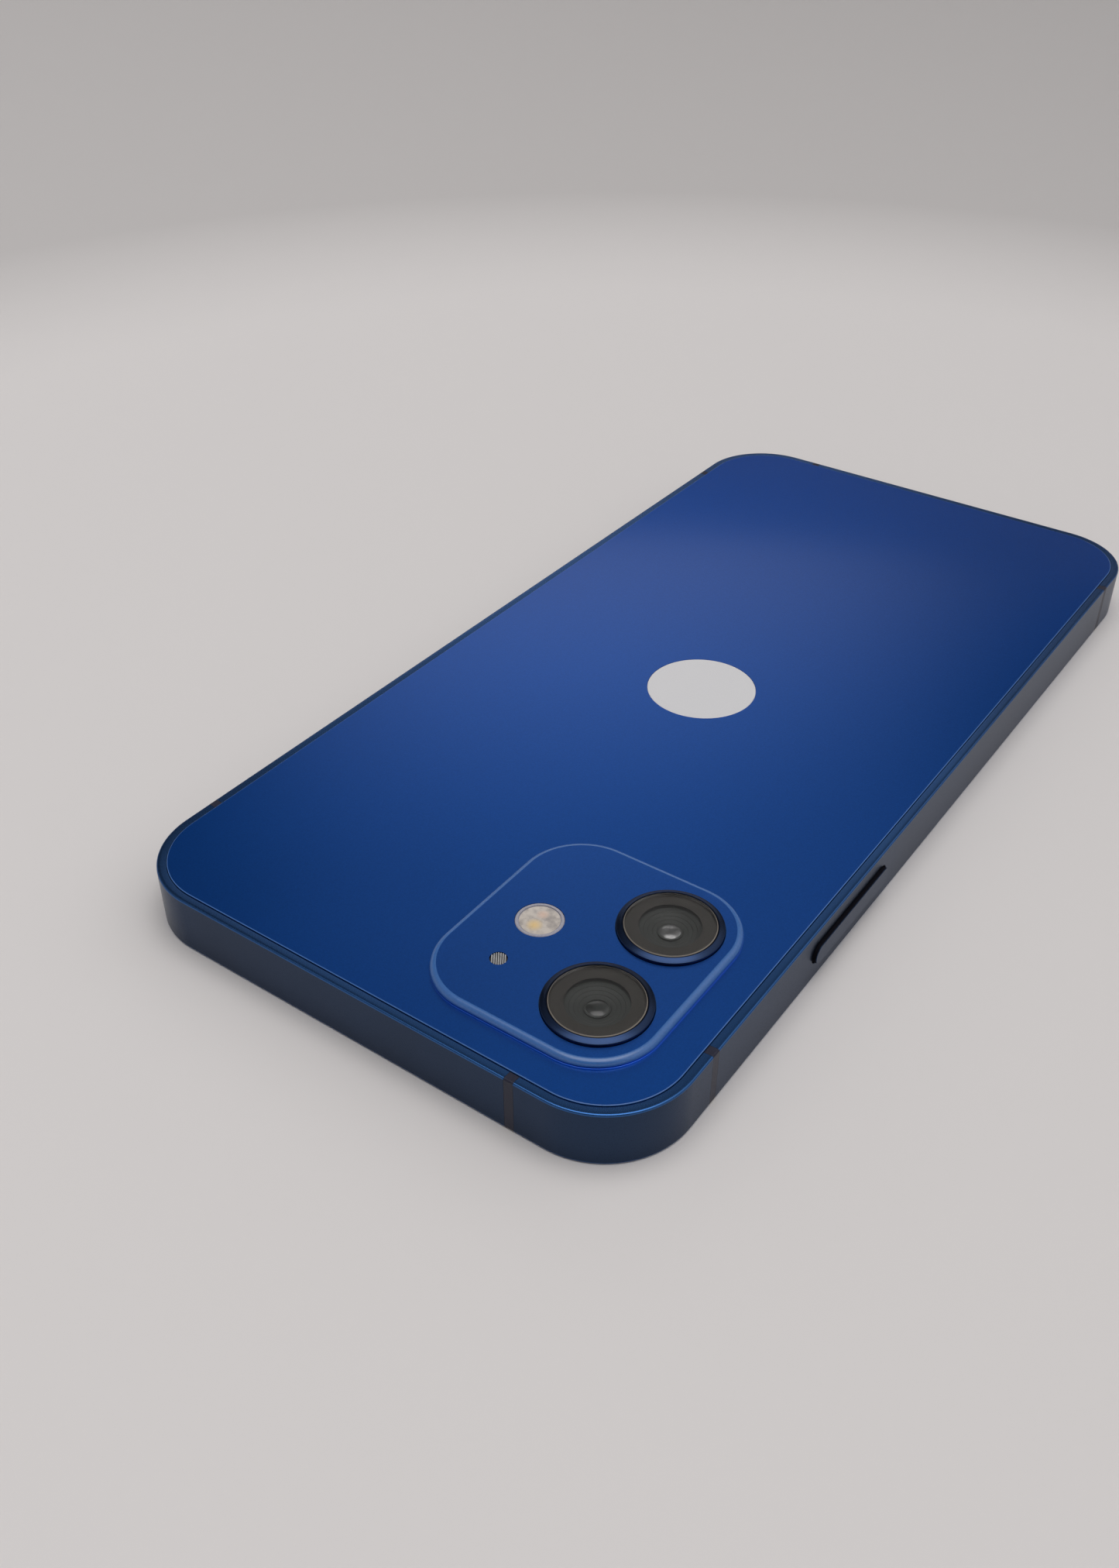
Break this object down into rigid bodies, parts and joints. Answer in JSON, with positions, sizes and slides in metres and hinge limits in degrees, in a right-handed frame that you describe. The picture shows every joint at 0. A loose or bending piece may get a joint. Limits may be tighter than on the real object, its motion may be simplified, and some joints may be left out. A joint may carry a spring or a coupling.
{
  "type": "smartphone",
  "caption": "Slim rounded smartphone lying screen down, with a raised camera plateau, side buttons, a card tray, a charging port and separate parts inside.",
  "frame": {"origin": "centre of the outer face of the display glass, the lowest face of the phone as it lies screen down", "axes": "+Z out of the back glass, +Y along the phone towards its earpiece end, +X towards the volume buttons and card tray"},
  "size_m": [0.0724, 0.1466, 0.0088],
  "materials": {
    "blue_glass": "deep blue glass, satin gloss, colour behind the glass",
    "blue_metal": "blue anodised aluminium, satin",
    "lens_trim": "dark blue anodised aluminium, polished edge",
    "antenna_plastic": "matt grey-violet moulded plastic",
    "display_glass": "black gloss glass",
    "lens_glass": "clear coated cover glass over black",
    "black_plastic": "black moulded plastic",
    "mark_silver": "light silver satin inlay",
    "steel": "pressed steel",
    "inner_aluminium": "machined aluminium",
    "copper": "bare copper wire",
    "magnet": "nickel-plated magnet",
    "circuit_board": "dark green circuit board",
    "battery_wrap": "black laminated pouch",
    "flash_cream": "cream lens over yellow emitters",
    "seal_rubber": "black adhesive gasket",
    "mesh_metal": "fine woven acoustic mesh",
    "tungsten": "sintered heavy-metal weight",
    "card_plastic": "white card plastic"
  },
  "bodies": {
    "phone": {"display_cover_glass": "display_glass", "earpiece_mesh": "mesh_metal", "display_seal": "seal_rubber", "display_panel": "black_plastic", "display_back_plate": "steel", "frame_rail_button_side": "blue_metal", "frame_rail_volume_side": "blue_metal", "frame_corner_camera": "blue_metal", "frame_top": "blue_metal", "frame_bottom": "blue_metal", "frame_corner_haptic": "blue_metal", "antenna_break_button_side_upper": "antenna_plastic", "antenna_break_button_side_lower": "antenna_plastic", "antenna_break_volume_side_upper": "antenna_plastic", "antenna_break_volume_side_lower": "antenna_plastic", "antenna_break_top": "antenna_plastic", "antenna_break_bottom": "antenna_plastic", "midframe_plate": "inner_aluminium", "back_glass": "blue_glass", "rear_mark": "mark_silver", "flash_lens": "flash_cream", "flash_led": "flash_cream", "rear_microphone_mesh": "mesh_metal", "lens_ring_wide": "lens_trim", "lens_ring_ultrawide": "lens_trim", "lens_cover_wide": "lens_glass", "lens_cover_ultrawide": "lens_glass", "camera_housing_wide": "steel", "camera_housing_ultrawide": "steel", "lens_barrel_ultrawide": "black_plastic", "side_button_switch": "steel", "volume_button_switch": "steel", "sim_reader": "steel", "charging_port_shell": "steel", "charging_port_tongue": "black_plastic", "bottom_screw_left": "steel", "bottom_screw_right": "steel", "loudspeaker": "black_plastic", "haptic_housing": "steel", "haptic_spring_left": "steel", "haptic_spring_right": "steel", "battery": "battery_wrap", "logic_board": "circuit_board", "board_shield": "steel", "earpiece_speaker": "black_plastic", "front_camera_module": "black_plastic", "face_sensor_module": "black_plastic", "charging_coil_shield": "mark_silver", "charging_coil": "copper", "magnet_ring": "magnet"},
    "side_button": {"side_button": "blue_metal"},
    "volume_up_button": {"volume_up_button": "blue_metal"},
    "volume_down_button": {"volume_down_button": "blue_metal"},
    "ring_switch": {"ring_switch": "blue_metal"},
    "sim_tray": {"sim_tray": "blue_metal", "sim_card": "card_plastic"},
    "eject_plunger": {"eject_plunger": "steel"},
    "eject_lever": {"eject_lever": "steel"},
    "lens_barrel_wide": {"lens_barrel_wide": "black_plastic"},
    "haptic_mass": {"haptic_mass": "tungsten"}
  },
  "joints": [
    {"name": "side_button_press", "type": "slide", "parent": "phone", "child": "side_button", "axis": [1, 0, 0], "range_m": [0, 0.0003], "stiffness_N_per_m": 2000, "springref_m": -0.0006},
    {"name": "volume_up_press", "type": "slide", "parent": "phone", "child": "volume_up_button", "axis": [-1, 0, 0], "range_m": [0, 0.0003], "stiffness_N_per_m": 2000, "springref_m": -0.0006},
    {"name": "volume_down_press", "type": "slide", "parent": "phone", "child": "volume_down_button", "axis": [-1, 0, 0], "range_m": [0, 0.0003], "stiffness_N_per_m": 2000, "springref_m": -0.0006},
    {"name": "ring_switch_slide", "type": "slide", "parent": "phone", "child": "ring_switch", "axis": [0, 0, 1], "range_m": [0, 0.0012]},
    {"name": "sim_tray_slide", "type": "slide", "parent": "phone", "child": "sim_tray", "axis": [1, 0, 0], "range_m": [0, 0.024]},
    {"name": "eject_plunger_push", "type": "slide", "parent": "phone", "child": "eject_plunger", "axis": [-1, 0, 0], "range_m": [0, 0.0015]},
    {"name": "eject_lever_turn", "type": "hinge", "parent": "phone", "child": "eject_lever", "pos_m": [0.0155, -0.014, 0.00385], "axis": [0, 0, 1], "range_deg": [-21, 0.5]},
    {"name": "wide_lens_focus", "type": "slide", "parent": "phone", "child": "lens_barrel_wide", "axis": [0, 0, 1], "range_m": [0, 0.00025], "stiffness_N_per_m": 500, "springref_m": -0.0001},
    {"name": "haptic_mass_slide", "type": "slide", "parent": "phone", "child": "haptic_mass", "axis": [1, 0, 0], "range_m": [-0.0008, 0.0008], "stiffness_N_per_m": 1500}
  ],
  "couplings": [
    {"joint": "eject_lever_turn", "follows": "eject_plunger_push", "rad_per_m": -238.5}
  ]
}
